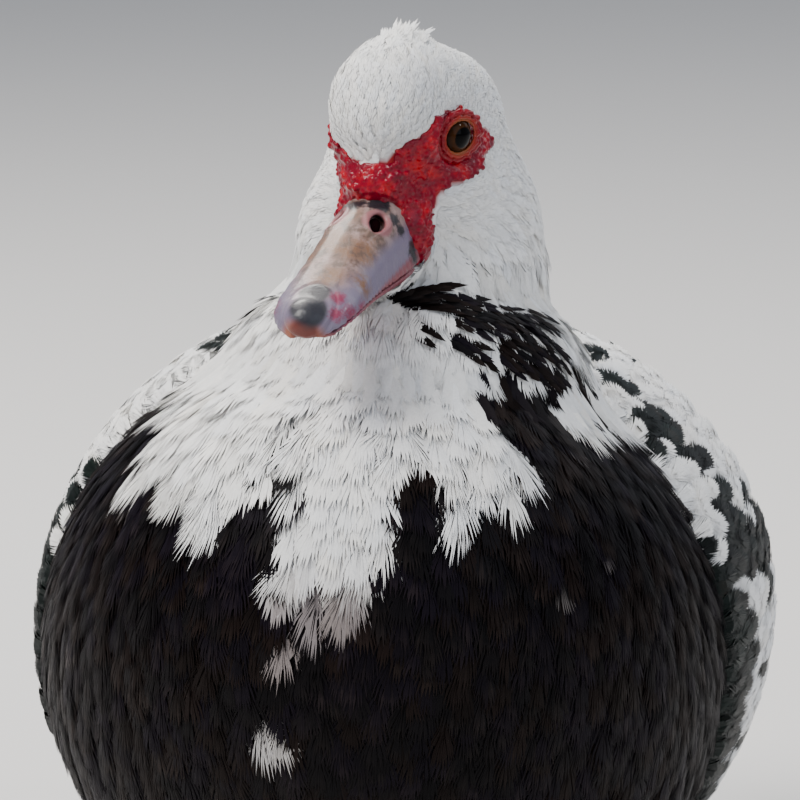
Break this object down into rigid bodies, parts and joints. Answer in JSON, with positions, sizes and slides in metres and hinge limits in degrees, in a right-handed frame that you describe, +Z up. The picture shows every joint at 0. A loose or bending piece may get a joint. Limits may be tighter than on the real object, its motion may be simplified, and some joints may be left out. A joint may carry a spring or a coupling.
{
  "type": "standing muscovy duck",
  "caption": "Life-size muscovy duck at rest, head turned a little aside, bare knobbly face, folded wings, broad tail and webbed feet.",
  "frame": {"origin": "on the floor, below the middle of the bounding box", "axes": "+Z up, the bird faces -Y, its left side is +X"},
  "size_m": [0.2331, 0.5188, 0.3574],
  "materials": {
    "head_plumage": "white feathers over red bare face skin",
    "body_plumage": "black feathers with a brown and purple sheen, white on the breast and wings",
    "bill": "pinkish horn with dark mottling",
    "eye": "wet dark brown",
    "leg_skin": "scaly yellow skin with dark blotches",
    "claw": "dark horn"
  },
  "bodies": {
    "root": {"bill_lower": "bill", "bill_upper": "bill", "claw_hind_left": "claw", "claw_hind_right": "claw", "claw_inner_left": "claw", "claw_inner_right": "claw", "claw_middle_left": "claw", "claw_middle_right": "claw", "claw_outer_left": "claw", "claw_outer_right": "claw", "eye_left": "eye", "eye_right": "eye", "foot_left": "leg_skin", "foot_right": "leg_skin", "head": "head_plumage", "neck": "head_plumage", "shank_left": "leg_skin", "shank_right": "leg_skin", "tail": "body_plumage", "thigh_left": "body_plumage", "thigh_right": "body_plumage", "torso": "body_plumage", "wing_left": "body_plumage", "wing_right": "body_plumage"}
  },
  "joints": []
}
